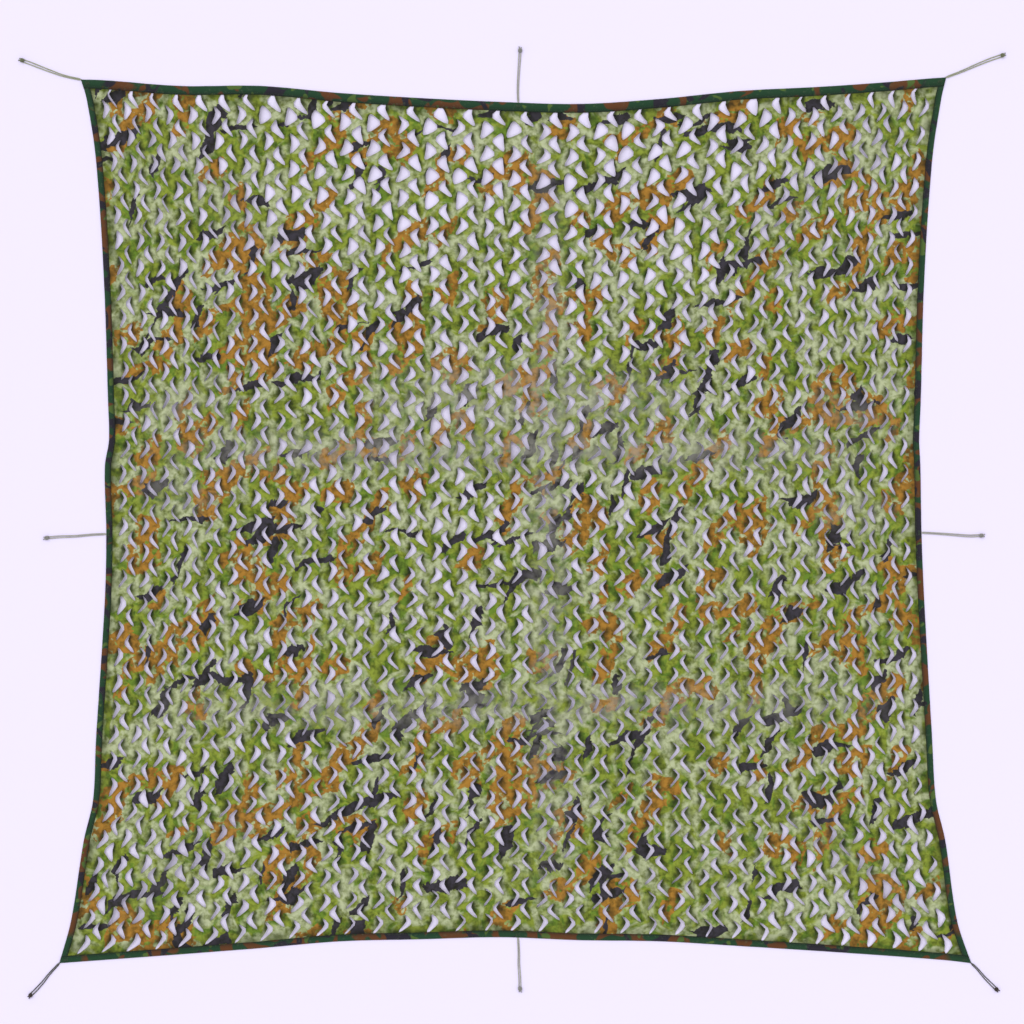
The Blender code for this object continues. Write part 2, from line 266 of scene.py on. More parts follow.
knots = {
    "length": 0.014,
    "squeezed": 0.0034,  # cord diameter inside the knot
    "squeezeRate": 3.2,  # how soon the two strands come together
    "snug": 0.52,  # from the knot's middle to each strand inside it, in squeezed diameters
    "wrapWide": 0.00559,  # half width and half height of the wraps' own line
    "wrapTall": 0.003332,
    "turns": 3.6,
    "firstAngle": 0.6,
    "stepsPerTurn": 18,
    "endRoom": 0.0016,  # from each end of the knot to the wraps
    "slant": 0.0009,
    "tucked": 0.45,  # how far the first and last wraps are tucked in, and over which share of them
    "tuckedShare": 1 / 7,
    "steps": 12,
    "sides": 10,
    "tail": 0.005,
    "tailShares": {1: 1.15, -1: 0.85},  # for each strand
    "dropFrom": 0.6,  # where the strands start to drop and to splay, in shares of their way
    "splayFrom": 0.72,
    "splay": 0.009,
    "splayShares": {1: 1.2, -1: 0.7},
}


def smoothRoute(points, step, finer):
    # points on one smooth curve through a route's own points
    spots = [Vector((p[0], p[1], 0)) for p in points]
    ends = [2 * spots[0] - spots[1]] + spots + [2 * spots[-1] - spots[-2]]
    smooth = []
    for index in range(1, len(ends) - 2):
        before, start, end, after = ends[index - 1:index + 3]
        pieces = max(1, round((end - start).length / step)) * finer
        for piece in range(pieces):
            t = piece / pieces
            bend = (2 * before - 5 * start + 4 * end - after) * t * t
            twist = (3 * start - before - 3 * end + after) * t ** 3
            smooth.append(start + ((end - before) * t + bend + twist) / 2)
    return smooth + [spots[-1]]


def tapeLine(side, t, cross):
    # point at t along a tape, and a share of its width in from the fold
    clear, width = binding["clear"], binding["width"]
    inset = [0.0, 0.0, 0.0, 0.0]
    if side in ("left", "right"):
        inset[2:] = [width["top"] + clear, width["bottom"] + clear]
    inset[sideNames.index(side)] = width[side] * cross
    u, v = {"top": (t, 1), "bottom": (t, 0), "left": (0, t), "right": (1, t)}[side]
    return placeAt(u, v, inset)


def tieRoot(side, along, route):
    # where the tie leaves its tape, read off the short straight runs of the solid tape
    runs, short = ties["tapeRuns"], ties["shortRun"]
    shares = sorted([run / runs for run in range(runs + 1)] + [short, 1 - short])
    for low, high in zip(shares, shares[1:]):
        if low <= along <= high:
            edge = tapeLine(side, low, 0).lerp(tapeLine(side, high, 0), (along - low) / (high - low))
    return edge + (Vector((*route[0], 0)) - edge).normalized() * ties["rootGap"]


def pinchAt(distance):
    # share of its full thickness and spacing a strand has at a distance from the tape
    t = min(1, max(0, distance / ties["pinchLength"]))
    return ties["pinched"] + (1 - ties["pinched"]) * t * t * (3 - 2 * t)


def strandLine(tie, hand):
    # one strand's middle line, from under the fold to the knot; hand is 1 or -1
    side, along, spread, route = tie[1:]
    centre = smoothRoute((tieRoot(side, along, route)[:2], *route), ties["cadStep"], ties["fineSteps"])
    line = []
    for index, spot in enumerate(centre):
        ahead = centre[min(index + 1, len(centre) - 1)] - centre[max(index - 1, 0)]
        aside = Vector((-ahead.y, ahead.x, 0)).normalized()
        t = index / (len(centre) - 1)
        spacing = ties["rootSpacing"] + (spread - ties["rootSpacing"]) * t * t * (3 - 2 * t)
        spacing *= pinchAt((spot - centre[0]).length)
        line.append(spot + aside * hand * spacing / 2 + Vector((0, 0, ties["cord"] / 2)))
    return [line[0] - (line[1] - line[0]).normalized() * ties["sewnIn"]] + line


def addTube(bm, line, radius, sides, sewn=False):
    # a ring with grooves between its plies, extruded from point to point and turned as it goes
    turnsPerMetre, plies, groove = ties["turnsPerMetre"], ties["plies"], ties["groove"]
    upright = Vector((0.08, 0.05, 1))  # nearly so, because no stretch of a cord points that way
    around = bm.verts.layers.float.get("around") or bm.verts.layers.float.new("around")
    along = bm.verts.layers.float.get("along") or bm.verts.layers.float.new("along")
    ring = bmesh.ops.create_circle(bm, segments=sides, radius=1.0)["verts"]
    for vert in ring:
        angle = math.atan2(vert.co.y, vert.co.x)
        vert[around] = angle / math.tau + 0.5
        vert.co *= radius * (1 + groove * math.cos(plies * angle))
    edges = list({edge for vert in ring for edge in vert.link_edges})
    firstEdges, travelled, last = edges, 0.0, Matrix.Identity(4)
    for index, spot in enumerate(line):
        ahead = (line[min(index + 1, len(line) - 1)] - line[max(index - 1, 0)]).normalized()
        if index:
            travelled += (spot - line[index - 1]).length
            grown = bmesh.ops.extrude_edge_only(bm, edges=edges)["geom"]
            ring = [item for item in grown if isinstance(item, bmesh.types.BMVert)]
            edges = [item for item in grown if isinstance(item, bmesh.types.BMEdge)]
        side = ahead.cross(upright).normalized()
        basis = Matrix((side, ahead.cross(side), ahead)).transposed().to_4x4()
        thick = pinchAt(travelled - ties["sewnIn"]) if sewn else 1
        here = (Matrix.Translation(spot) @ basis @ Matrix.Diagonal((thick, thick, 1, 1))
                @ Matrix.Rotation(math.tau * turnsPerMetre * travelled, 4, "Z"))
        bmesh.ops.transform(bm, matrix=here @ last.inverted(), verts=ring)
        for vert in ring:
            vert[along] = travelled
        last = here
    bmesh.ops.edgeloop_fill(bm, edges=firstEdges)
    bmesh.ops.edgeloop_fill(bm, edges=edges)


def lengthwiseMap(bm):
    # around and along the cord as a UV map, in turns and in centimetres
    around, along = bm.verts.layers.float["around"], bm.verts.layers.float["along"]
    uv = bm.loops.layers.uv.new("cord")
    for face in bm.faces:
        turns = [loop.vert[around] for loop in face.loops]
        wraps = max(turns) - min(turns) > 0.5
        for loop, turn in zip(face.loops, turns):
            loop[uv].uv = (turn + (1 if wraps and turn < 0.5 else 0), loop.vert[along] * 100)


def cordMaterial(name, light, dark):
    material, tree, shader, coords = startMaterial(name, 0.78, 0.2)
    lengthwise = addNode(tree, "UVMap", uv_map="cord").outputs[0]
    turned = addNode(tree, "Mapping", {"Vector": lengthwise, "Scale": (3, 9, 1), "Rotation": (0, 0, 0.6)})
    turned = turned.outputs[0]
    fibres = addNode(tree, "TexNoise", {"Vector": turned, "Scale": 7.0, "Detail": 5.0}).outputs[0]
    worn = blotch(tree, coords, (0.3, 0.1, 0), 60.0)
    shade = mixPaint(tree, fade(tree, fibres, 0.35, 0.65), paint(dark), paint(light))
    shade = mixPaint(tree, maths(tree, "MULTIPLY", fade(tree, worn, 0.5, 0.75), 0.6), shade, paint(light))
    tree.links.new(shade, shader.inputs["Base Color"])
    bump = addNode(tree, "Bump", {"Strength": 0.7, "Distance": 0.0003, "Height": fibres})
    tree.links.new(bump.outputs[0], shader.inputs["Normal"])
    return material


cordFinishes, knotFinishes = {}, {}
for finish, (light, dark, knotLight, knotDark) in ties["finishes"].items():
    cordFinishes[finish] = cordMaterial(finish + "TieCord", light, dark)
    knotFinishes[finish] = cordMaterial(finish + "TieKnot", knotLight, knotDark)


def finishOf(name):
    return ties["finishAt"].get(name, "grey")


def throughKnot(hand, near, away, aside, spread):
    # one strand's middle line through the knot and out of it as a tail
    thin, half, tall = knots["squeezed"], ties["cord"] / 2, knots["wrapTall"]
    line = []
    for step in range(knots["steps"] + 1):
        t = step / knots["steps"]
        squeeze = min(1, t * knots["squeezeRate"])
        squeeze *= squeeze * (3 - 2 * squeeze)
        splay = max(0.0, t - knots["splayFrom"]) * knots["splay"] * knots["splayShares"][hand]
        gap = spread / 2 + (thin * knots["snug"] - spread / 2) * squeeze + splay
        rise = half + (tall + thin / 2 - half) * min(1, squeeze * 1.1)
        if t > knots["dropFrom"]:
            dropped = ((t - knots["dropFrom"]) / (1 - knots["dropFrom"])) ** 1.3
            rise += (thin * 0.55 + 0.0002 - rise) * dropped
        run = (knots["length"] + knots["tail"] * knots["tailShares"][hand]) * t
        line.append(near + away * run + aside * hand * gap + Vector((0, 0, rise)))
    return line


def knotWraps(near, away, aside):
    # the line of the wraps round the two strands, tucked in at its ends
    wide, tall, middle = knots["wrapWide"], knots["wrapTall"], knots["squeezed"] * 0.56
    room, between = knots["endRoom"], knots["length"] - 2 * knots["endRoom"]
    line = []
    steps = round(knots["turns"] * knots["stepsPerTurn"])
    for step in range(steps + 1):
        t = step / steps
        fromEnd = min(t, 1 - t) / knots["tuckedShare"]
        tucked = 1 - knots["tucked"] * max(0, 1 - fromEnd)
        angle = math.tau * knots["turns"] * t + knots["firstAngle"]
        run = room + between * t + knots["slant"] * math.sin(angle)
        line.append(near + away * run + aside * math.cos(angle) * wide * tucked
                    + Vector((0, 0, tall + middle + math.sin(angle) * tall * tucked)))
    return line


def makeKnot(tie):
    # the two strands run on through nearly four snug wraps and come out as short tails
    name, spread, route = tie[0], tie[3], tie[4]
    near = Vector((*route[-1], 0))
    away = (near - Vector((*route[-2], 0))).normalized()
    aside = Vector((-away.y, away.x, 0))
    radius = knots["squeezed"] / 2
    bm = bmesh.new()
    for hand in (1, -1):
        addTube(bm, throughKnot(hand, near, away, aside, spread), radius, knots["sides"])
    addTube(bm, knotWraps(near, away, aside), radius * 0.98, knots["sides"])
    lengthwiseMap(bm)
    bmesh.ops.recalc_face_normals(bm, faces=bm.faces)
    return addPiece("tieKnot_" + name, bm, knotFinishes[finishOf(name)], ["knot_" + name])


for tie in ties["places"]:
    name, knot = tie[0], makeKnot(tie)
    finish = cordFinishes[finishOf(name)]
    for letter, hand in (("a", 1), ("b", -1)):
        line = strandLine(tie, hand)
        bm = bmesh.new()
        addTube(bm, line, ties["cord"] / 2 / (1 + ties["groove"]), ties["sides"], sewn=True)
        lengthwiseMap(bm)
        bmesh.ops.recalc_face_normals(bm, faces=bm.faces)
        strand = addPiece(f"tieStrand_{name}_{letter}", bm, finish, [f"tie_{name}_{letter}"])
print("ties made,", len(ties["places"]) * 2, "strands")

# ---- the net's cloth: a lattice of lozenges, each with one chevron slit pulled open

cloth = {
    "columns": 66,
    "rows": 67,
    # from the tape's inner edge to the lattice, which runs in under the top and bottom tapes
    "margin": {"left": 0.0, "right": 0.0, "top": -0.018, "bottom": -0.012},
    "edge": 0.008,  # from the tape's fold to the cloth's edge inside it
    "restHeight": 0.0065,
    # pitch of the columns, narrower at the two sides and most so near the top, and a little in the middle
    "sideSqueeze": 0.11,
    "secondSqueeze": 0.03,
    "lean": 0.26,  # how far one row of the lattice's corners lies to one side, and the next to the other
    "tailRoom": 0.16,  # how far their edges give way beside the slits' tails
    # the slit's outline in shares of half a lozenge, from its point round by tail, tongue and upper end
    "narrow": [(-0.54, 0.14), (-0.37, -0.13), (-0.12, -0.42), (0.21, -0.74), (0.33, -0.70), (0.10, -0.30),
               (-0.21, 0.13), (-0.19, 0.31), (-0.07, 0.52), (0.05, 0.73), (-0.05, 0.75), (-0.34, 0.46)],
    "wide": [(-0.68, 0.03), (-0.46, -0.24), (-0.16, -0.48), (0.26, -0.72), (0.42, -0.69), (0.45, -0.30),
             (0.43, 0.04), (0.36, 0.34), (0.23, 0.57), (0.04, 0.75), (-0.08, 0.74), (-0.40, 0.42)],
    "tongue": (5, 6, 7, 8),  # points on the tongue, which hangs further in or out from slit to slit
    "rings": ((0.42, 0.0, 0.3), (0.74, 0.35, 0.95), (1.0, 1.0, 1.0)),  # place, lift and shade of each ring
    "curlHeight": 0.0055,
    "curlRange": (0.3, 1.5),  # how unlike the curls are
    "curlByWidth": (0.65, 0.6),  # curl of a narrow slit, and how much more a wide one's is
    # how far the curl lifts each point of the slit's edge, and how dark its shaded side is
    "lift": [0.15, 0.10, 0.10, 0.15, 0.35, 0.75, 1.0, 0.95, 0.6, 0.4, 0.25, 0.15],
    "shade": [0.1, 0.25, 0.35, 0.3, 0.3, 0.45, 0.9, 1.0, 0.9, 0.4, 0.15, 0.1],
    # across, up, reach, share by which the slits stand wider open there
    "pulls": [(-0.60, 1.42, 0.52, 0.56), (0.58, 1.40, 0.52, 0.52), (0.0, 1.12, 0.55, 0.36),
              (-0.20, 0.12, 0.55, 0.31), (-1.34, -1.30, 0.40, 0.38), (1.34, -1.30, 0.40, 0.40),
              (-1.30, 1.40, 0.35, 0.15), (1.30, 1.40, 0.35, 0.15),
              (0.35, -0.95, 0.55, -0.24), (0.50, -0.50, 0.45, -0.16), (0.0, 0.55, 0.40, -0.10),
              (-0.30, -0.98, 0.32, 0.16)],
    "resting": 0.06,
    "patches": (5.5, 0.20),  # scale and strength of the openness's own unevenness
    "chance": 0.20,  # and how far it changes from slit to slit
    "openRange": (-0.15, 1.1),
    "creaseClosed": 0.08,  # how much narrower the slits are in a rubbed crease
    "tongueShare": (0.25, 1.15),
    "tongueChance": 0.14,
    "tilt": 0.15,
    "wobble": 0.025,  # of each point of a slit's edge
    "topBias": 0.14,  # near the top the slits that point right stand wider open than the others
    "selvage": 0.06,  # least cloth between a slit and its lozenge's edge, in shares of half a lozenge
    "stray": 0.06,  # how far a slit lies off its place in the lattice
    "sway": 0.012,  # and how far the whole lattice sways, in metres
    "swayScale": 4.0,
    "swayFade": 9,  # the sway grows from none at the tape to its whole within a ninth of the net
    "bulgeMost": 0.16,  # how far a slit's added point may stand out, in shares of its edge
    "creaseEnds": 0.6,  # how quickly a crease dies out at its ends
    # soft creases: start, end, half width, height, how rubbed
    "creases": [(0.112, 1.29, 0.12, -1.30, 0.10, 0.006, 0.8), (-1.27, 0.24, 1.25, 0.226, 0.10, 0.007, 1),
                (-1.29, -0.64, 1.29, -0.618, 0.10, 0.006, 0.8), (-0.55, 0.42, 0.62, 0.40, 0.17, 0.004, 1),
                (-1.32, 1.35, -0.70, 0.86, 0.095, 0.007, 0.1), (1.31, 1.36, 0.72, 0.90, 0.095, 0.007, 0.1),
                (-1.40, -1.37, -0.86, -0.96, 0.105, 0.008, 0.1),
                (1.40, -1.36, 0.88, -0.94, 0.105, 0.008, 0.1),
                (-1.31, 0.33, -0.94, 0.47, 0.08, 0.006, 0.5), (-1.31, 0.13, -1.0, 0.06, 0.08, 0.005, 0.5),
                (1.30, 0.30, 0.96, 0.42, 0.08, 0.006, 0.5), (1.30, 0.06, 1.0, 0.01, 0.08, 0.005, 0.5)],
    "slack": ((0.0022, 7.0, 0.45), (0.0011, 23.0, 0.3)),  # height, scale and bias of the slack waves
    "levelReach": 0.035,  # how far in from the tape the cloth has its free height
    "tapeShade": (0.038, 0.9, 26.0),  # painted shade near the tape, where the cloth is drawn up: how far in it reaches, how dark, its scale
    "seed": 7,
    "swaySeed": 1795549620,  # the vector noise of the sway changes from run to run without one
}


def creaseAt(spot):
    # height of the soft creases, and how rubbed they are here
    lift, worn = 0.0, 0.0
    for x, y, endX, endY, half, height, wear in cloth["creases"]:
        start, run = Vector((x, y, 0)), Vector((endX - x, endY - y, 0))
        along = (spot - start).dot(run) / run.length_squared
        if 0 < along < 1:
            off = (spot - start - run * along).length / half
            if off < 1:
                crest = math.sin(math.pi * along) ** cloth["creaseEnds"] * (1 - off * off) ** 2
                lift, worn = max(lift, height * crest), max(worn, wear * crest)
    return lift, worn


def opennessAt(spot):
    # how far the slits stand open here, about from 0 to 1
    total = cloth["resting"]
    for x, y, reach, share in cloth["pulls"]:
        off = (spot - Vector((x, y, 0))).length / reach
        total += share * math.exp(-off * off)
    scale, strength = cloth["patches"]
    return total + strength * noise.noise(spot * scale + Vector((4, 9, 2)))


def columnShare(t, up):
    # share of the net's width at which a column lies, at a share of its height
    return (t - cloth["sideSqueeze"] * (0.5 + up) * math.sin(math.tau * t) / math.tau
            - cloth["secondSqueeze"] * math.sin(2 * math.tau * t) / (2 * math.tau))


def onCloth(x, y, inset):
    # place on the net of a point of the lattice, which counts in columns and rows
    up = y / cloth["rows"]
    across = columnShare(x / cloth["columns"], up)
    spot = placeAt(across, up, inset)
    loose = min(1, cloth["swayFade"] * min(across, 1 - across, up, 1 - up))
    sway = noise.noise_vector(spot * cloth["swayScale"]) * cloth["sway"] * loose
    return spot + Vector((sway.x, sway.y, 0))


def slitOrder(face, turn):
    # a lozenge's twelve corners in turn from its slit's point, anticlockwise or mirrored
    corners = list(face.verts)
    start = min(range(len(corners)), key=lambda i: corners[i].co.x * turn)
    corners = corners[start:] + corners[:start]
    return corners if turn > 0 else [corners[0]] + corners[:0:-1]


def keptInside(spot, outer, turn):
    # a slit's point, moved where need be to a small distance inside its lozenge
    rounds, beyond = 4, 0.2
    for _ in range(rounds):
        for a, b in zip(outer, outer[1:] + outer[:1]):
            run = b - a
            inward = Vector((-run.y, run.x, 0)).normalized() * turn
            off, along = (spot - a).dot(inward), (spot - a).dot(run) / run.length_squared
            if off < cloth["selvage"] and -beyond < along < 1 + beyond:
                spot = spot + inward * (cloth["selvage"] - off)
    return spot


def netInset():
    margin, width = cloth["margin"], binding["width"]
    return [width[side] + margin[side] for side in sideNames]


def roundSlits(bm, faces):
    # a further point between each two of a slit's twelve, on a smooth curve through them
    own = set(bm.verts)
    bmesh.ops.bisect_edges(bm, edges=list({edge for face in faces for edge in face.edges}), cuts=1)
    for face in faces:
        ring = list(face.verts)
        count = len(ring)
        spots = [vert.co.copy() for vert in ring]
        for k, vert in enumerate(ring):
            if vert not in own:
                before, after = spots[k - 1], spots[(k + 1) % count]
                bulge = (before + after - spots[k - 3] - spots[(k + 3) % count]) / 16
                most = (after - before).length * cloth["bulgeMost"]
                if bulge.length > most:
                    bulge *= most / bulge.length
                vert.co = (before + after) / 2 + bulge


def makeLattice(bm):
    # a chequered grid whose every second corner is dissolved, which leaves lopsided lozenges of 12 points
    columns, rows = cloth["columns"], cloth["rows"]
    bmesh.ops.create_grid(bm, x_segments=columns, y_segments=rows, size=1.0)
    bmesh.ops.translate(bm, vec=(1, 1, 0), verts=bm.verts)
    bmesh.ops.scale(bm, vec=(columns / 2, rows / 2, 1), verts=bm.verts)
    place = {vert: (round(vert.co.x), round(vert.co.y)) for vert in bm.verts}
    corners = {vert: spot for vert, spot in place.items() if sum(spot) % 2}
    bmesh.ops.connect_verts(bm, verts=list(corners))
    middles = [vert for vert, (i, j) in place.items()
               if (i + j) % 2 == 0 and 0 < i < columns and 0 < j < rows]
    bmesh.ops.dissolve_verts(bm, verts=middles)
    for vert, (i, j) in corners.items():
        if 0 < i < columns:
            vert.co.x += cloth["lean"] * (1 if j % 2 else -1) * min(1, i / 2, (columns - i) / 2)
    bmesh.ops.bisect_edges(bm, edges=bm.edges[:], cuts=2)


def chooseOpenings(bm, dice):
    # for each lozenge its face, middle, turn of its slit, how wide that stands open and how irregular it is
    columns, rows, inset = cloth["columns"], cloth["rows"], netInset()
    lozenges = []
    for face in bm.faces:
        centre = face.calc_center_median()
        i, j = round(centre.x), round(centre.y)
        if len(face.verts) == 12 and 0 < i < columns and 0 < j < rows:
            turn = -1 if j % 2 else 1
            spot = onCloth(i, j, inset)
            rumpled = creaseAt(spot)[1]
            wide = opennessAt(spot) + dice.uniform(-1, 1) * cloth["chance"] * (1 + rumpled)
            wide -= turn * cloth["topBias"] * max(0, 2 * j / rows - 1) + cloth["creaseClosed"] * rumpled
            least, most = cloth["openRange"]
            lozenges.append((face, Vector((i, j, 0)), turn, min(max(wide, least), most), 1 + rumpled))
    return lozenges


def slitOutline(outer, centre, turn, wide, loose, dice):
    # a slit's twelve points, between its narrow and its wide shape
    stray, wobble = cloth["stray"] * loose, cloth["wobble"]
    middle = centre + Vector((dice.uniform(-stray, stray), dice.uniform(-stray, stray), 0))
    tilted = Matrix.Rotation(dice.uniform(-1, 1) * cloth["tilt"] * loose, 3, "Z")
    tongue = wide * dice.uniform(*cloth["tongueShare"]) + dice.uniform(-1, 1) * cloth["tongueChance"]
    slit = []
    for k, (a, b) in enumerate(zip(cloth["narrow"], cloth["wide"])):
        share = tongue if k in cloth["tongue"] else wide
        x, y = (a[n] + (b[n] - a[n]) * share + dice.uniform(-wobble, wobble) * loose for n in (0, 1))
        slit.append(keptInside(middle + tilted @ Vector((x * turn, y, 0)), outer, turn))
    return slit


def cutNet():
    dice = random.Random(cloth["seed"])
    noise.seed_set(cloth["swaySeed"])
    bm = bmesh.new()
    # per point strength of the painted shade, darkest on the curled side of each slit
    paintedShade = bm.verts.layers.float.new("paintedShade")
    makeLattice(bm)
    lozenges = chooseOpenings(bm, dice)
    for face, _, turn, _, _ in lozenges:
        slitOrder(face, turn)[4].co.x += cloth["tailRoom"] * turn
    outlines, (least, more) = [], cloth["curlByWidth"]
    for face, centre, turn, wide, loose in lozenges:
        outer = [vert.co.copy() for vert in slitOrder(face, turn)]
        slit = slitOutline(outer, centre, turn, wide, loose, dice)
        height = cloth["curlHeight"] * dice.uniform(*cloth["curlRange"]) * (least + more * wide)
        outlines.append((turn, outer, slit, height))
    faces = [lozenge[0] for lozenge in lozenges]
    for share, rise, dark in cloth["rings"]:
        bmesh.ops.inset_individual(bm, faces=faces, thickness=0.02, use_even_offset=False)
        for face, (turn, outer, slit, height) in zip(faces, outlines):
            for k, vert in enumerate(slitOrder(face, turn)):
                vert.co = outer[k].lerp(slit[k], share)
                vert.co.z = height * cloth["lift"][k] * rise
                # painted shade on the curled side of the slit, strongest at its edge
                vert[paintedShade] = cloth["shade"][k] * dark
    roundSlits(bm, faces)
    bmesh.ops.delete(bm, geom=faces, context="FACES_ONLY")
    return bm


def fromTape(spot):
    # distance in from the nearest tape's inner edge
    width = binding["width"]
    return min(spot.x - edgeValue(sideEdges, 1, spot.y) - width["left"],
               edgeValue(sideEdges, 2, spot.y) - spot.x - width["right"],
               edgeValue(endEdges, 1, spot.x) - spot.y - width["top"],
               spot.y - edgeValue(endEdges, 2, spot.x) - width["bottom"])


def latticeRim(bm):
    # the edges all round the lattice, without those of the slits
    columns, rows, near = cloth["columns"], cloth["rows"], 1e-4
    rim = []
    for edge in bm.edges:
        a, b = [vert.co for vert in edge.verts]
        if edge.is_boundary and (max(a.x, b.x) < near or min(a.x, b.x) > columns - near
                                 or max(a.y, b.y) < near or min(a.y, b.y) > rows - near):
            rim.append(edge)
    return rim


def settleNet(bm):
    # from the flat lattice to the pulled net: its edges, creases and slack waves, level inside the tape
    tucked = bm.verts.layers.int.new("tucked")
    worn = bm.verts.layers.float.new("worn")
    paintedShade = bm.verts.layers.float["paintedShade"]
    for item in bmesh.ops.extrude_edge_only(bm, edges=latticeRim(bm))["geom"]:
        if isinstance(item, bmesh.types.BMVert):
            item[tucked] = 1
    inset, edge, level = netInset(), [cloth["edge"]] * 4, binding["height"] / 2
    reach, shaded, scale = cloth["tapeShade"]
    for vert in bm.verts:
        spot = onCloth(vert.co.x, vert.co.y, edge if vert[tucked] else inset)
        inward = fromTape(spot)
        free = min(max(inward / cloth["levelReach"], 0), 1)
        free *= free * (3 - 2 * free)
        # painted shade on the cloth near the tape, noisy along its length
        nearTapeShade = (1 - inward / reach) * (0.7 + 0.9 * noise.noise(spot * scale))
        vert[paintedShade] = max(vert[paintedShade], min(1, max(0, nearTapeShade)) * shaded)
        height, vert[worn] = creaseAt(spot)
        slack = sum(tall * (noise.noise(spot * fine) + bias) for tall, fine, bias in cloth["slack"])
        loose = cloth["restHeight"] + max(0.0, slack) + height
        # curls start right at the tape, and the cloth itself comes down to the ground more slowly
        vert.co.z = level + (loose - level) * free + vert.co.z * min(1, free * 3)
        vert.co.xy = spot.xy


printing = {
    "green": "8b9a33",
    "deepGreen": "678425",
    "paleGreen": "b9c197",
    "orange": "aa7a2a",
    "nearBlack": "38343d",
    "tiltShadeTint": "9fa765",
    # colour of the painted shade on the curled tongue tips and on the cloth near the tape
    "shadedSide": "46521e",
    "rubbed": "a3a295",
    # size of the cells, their turn, their shift and the share of the cloth that they take
    "orangeCells": ((0.095, 0.06), 0.9, (7.7, 2.2, 0), 0.25),
    "strokes": (((0.095, 0.028), 0.25, (3.3, 1.2, 0), 0.042), ((0.08, 0.027), 1.2, (6.3, 8.2, 0), 0.035)),
    # shift, scale, detail and distortion of a noise, and the two values between which it fades in
    "palePatches": ((3.1, 0.7, 0), 12.0, 4.0, 0.9, 0.46, 0.57),
    "deepPatches": ((5.2, 3.9, 0), 21.0, 4.0, 0.9, 0.50, 0.60),
    "orangeHoles": ((1.2, 6.6, 0), 40.0, 2.0, 0.4, 0.40, 0.44),
    # painted shade: random darker patches where cloth strips tilt away from the light
    "tiltShade": ((0.2, 0.4, 0), 60.0, 3.0, 0.2, 0.42, 0.72),
    "haze": ((0.9, 0.3, 0), 32.0, 4.0, 0.4, 0.36, 0.60),
    "rubbedMost": 0.52,
}


def printedCloth():
    material, tree, shader, coords = startMaterial("printedCloth", 0.85, 0.05)
    rough = ragged(tree, coords, 0.10, 0.035)
    pale = softPatches(tree, coords, *printing["palePatches"])
    deep = softPatches(tree, coords, *printing["deepPatches"])
    orange = cells(tree, rough, *printing["orangeCells"])
    broken = softPatches(tree, coords, *printing["orangeHoles"])
    strokes = maths(tree, "MAXIMUM", *[cells(tree, rough, *stroke) for stroke in printing["strokes"]])
    shade = mixPaint(tree, deep, paint(printing["green"]), paint(printing["deepGreen"]))
    shade = mixPaint(tree, pale, shade, paint(printing["paleGreen"]))
    shade = mixPaint(tree, maths(tree, "MULTIPLY", orange, broken), shade, paint(printing["orange"]))
    shade = mixPaint(tree, strokes, shade, paint(printing["nearBlack"]))
    # the curled tips and the cloth near the tape get painted shade, random patches of painted shade stand
    # for strips tilted from the light, and the creases are rubbed
    # painted shade: random darker patches for strips tilted from the light
    tiltShade = softPatches(tree, coords, *printing["tiltShade"])
    shade = mixPaint(tree, tiltShade, shade, paint(printing["tiltShadeTint"], 0.85), "MULTIPLY")
    paintedShadeAmount = addNode(tree, "Attribute", attribute_name="paintedShade").outputs["Fac"]
    shade = mixPaint(tree, paintedShadeAmount, shade, paint(printing["shadedSide"], 0.9), "MULTIPLY")
    worn = addNode(tree, "Attribute", attribute_name="worn").outputs["Fac"]
    haze = softPatches(tree, coords, *printing["haze"])
    rubbed = maths(tree, "MULTIPLY", maths(tree, "MULTIPLY", worn, haze), printing["rubbedMost"])
    shade = mixPaint(tree, rubbed, shade, paint(printing["rubbed"]))
    tree.links.new(shade, shader.inputs["Base Color"])
    weave(tree, coords, shader, threads=330.0, strength=0.35)
    return material


bm = cutNet()
print("slits cut,", len(bm.faces), "faces")
settleNet(bm)
bmesh.ops.triangulate(bm, faces=bm.faces[:])
bmesh.ops.recalc_face_normals(bm, faces=bm.faces)
if sum(face.normal.z for face in bm.faces) < 0:
    bmesh.ops.reverse_faces(bm, faces=bm.faces)
net = addPiece("netCloth", bm, printedCloth(), ["net_panel"])
print("net settled,", len(net.data.polygons), "faces")

# ---- binding tape, folded over the cloth's edge and sewn through

stitching = {
    "pitch": 0.0055,
    "length": 0.0040,
    "thick": 0.0009,
    "cross": 0.80,  # share of the tape's width from the fold to the row
    "darkThread": "1c2a1d",
    "lightThread": "44583a",
    # the zigzag tack over each tie
    "tackStitches": 14,
    "tackPitch": 0.0011,
    "tackFrom": 0.16,
    "tackTo": 0.66,
    "tackRoom": 0.006,  # least share of the tape's length between a tack's middle and the tape's end
}
tapePrint = {
    "green": "173f24",
    "brown": "5f3716",
    "olive": "4d6629",
    "black": "211d2a",
    "shade": "8f8f8f",
    "dust": "56604a",
    # shift, scale, detail and distortion of a noise, and the two values between which it fades in
    "brownPatches": ((2.3, 8.1, 0), 12.0, 1.5, 0.8, 0.52, 0.54),
    "blackPatches": ((6.4, 1.9, 0), 13.0, 1.2, 0.6, 0.57, 0.585),
    "olivePatches": ((9.2, 4.4, 0), 22.0, 1.0, 0.4, 0.64, 0.66),
    "dustPatches": ((0.5, 0.2, 0), 120.0, 4.0, 0.1, 0.58, 1.0),
}


def puckerAt(side, t, cross):
    # the sewn tape draws up a little between the stitches, most near its inner edge
    row = sideNames.index(side) * 17.0  # each tape has its own puckers
    along = t * binding["length"]
    broad = noise.noise(Vector((along * 34, row, cross * 1.5)))
    small = noise.noise(Vector((along * 90, row, 5)))
    return binding["pucker"] * (0.35 + 0.65 * cross) * (broad + 0.5 * small)


